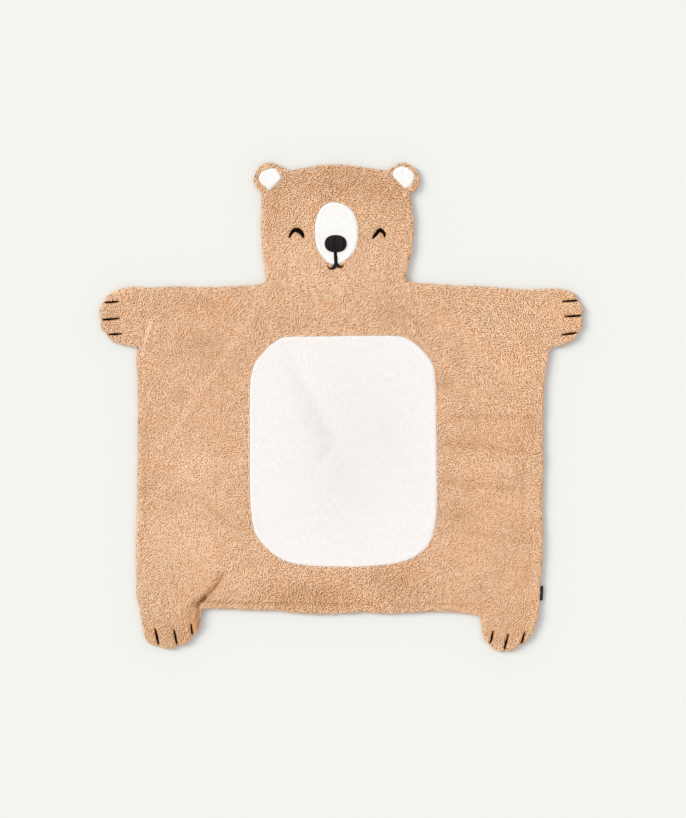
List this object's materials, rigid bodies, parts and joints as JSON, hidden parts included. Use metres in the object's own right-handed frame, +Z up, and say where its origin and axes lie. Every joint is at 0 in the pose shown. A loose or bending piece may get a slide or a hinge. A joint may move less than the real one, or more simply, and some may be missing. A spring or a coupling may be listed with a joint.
{
  "type": "bear shaped kids rug",
  "caption": "Flat, lightly padded play rug cut in the outline of a bear, of curly fleece with sewn-on short plush patches and a satin-stitched face and claws.",
  "frame": {"origin": "on the floor under the middle of the rug's bounding box", "axes": "+Z up out of the pile, +Y towards the head, +X to the right seen from above with the head up"},
  "size_m": [1.0008, 1.011, 0.0171],
  "materials": {
    "fleece_camel": "curly long-loop fleece, matt",
    "plush_cream": "short velvety plush, matt",
    "satin_thread_black": "satin stitch thread, soft sheen",
    "label_black": "plain woven tape, matt"
  },
  "bodies": {
    "root": {"fleece_body": "fleece_camel", "belly_patch": "plush_cream", "muzzle_patch": "plush_cream", "ear_patch_left": "plush_cream", "ear_patch_right": "plush_cream", "eye_stitch_left": "satin_thread_black", "eye_stitch_right": "satin_thread_black", "nose_stitch": "satin_thread_black", "mouth_stitch": "satin_thread_black", "claw_stitch_front_left_1": "satin_thread_black", "claw_stitch_front_left_2": "satin_thread_black", "claw_stitch_front_left_3": "satin_thread_black", "claw_stitch_front_right_1": "satin_thread_black", "claw_stitch_front_right_2": "satin_thread_black", "claw_stitch_front_right_3": "satin_thread_black", "claw_stitch_hind_left_1": "satin_thread_black", "claw_stitch_hind_left_2": "satin_thread_black", "claw_stitch_hind_left_3": "satin_thread_black", "claw_stitch_hind_right_1": "satin_thread_black", "claw_stitch_hind_right_2": "satin_thread_black", "claw_stitch_hind_right_3": "satin_thread_black", "side_label": "label_black"}
  },
  "joints": []
}
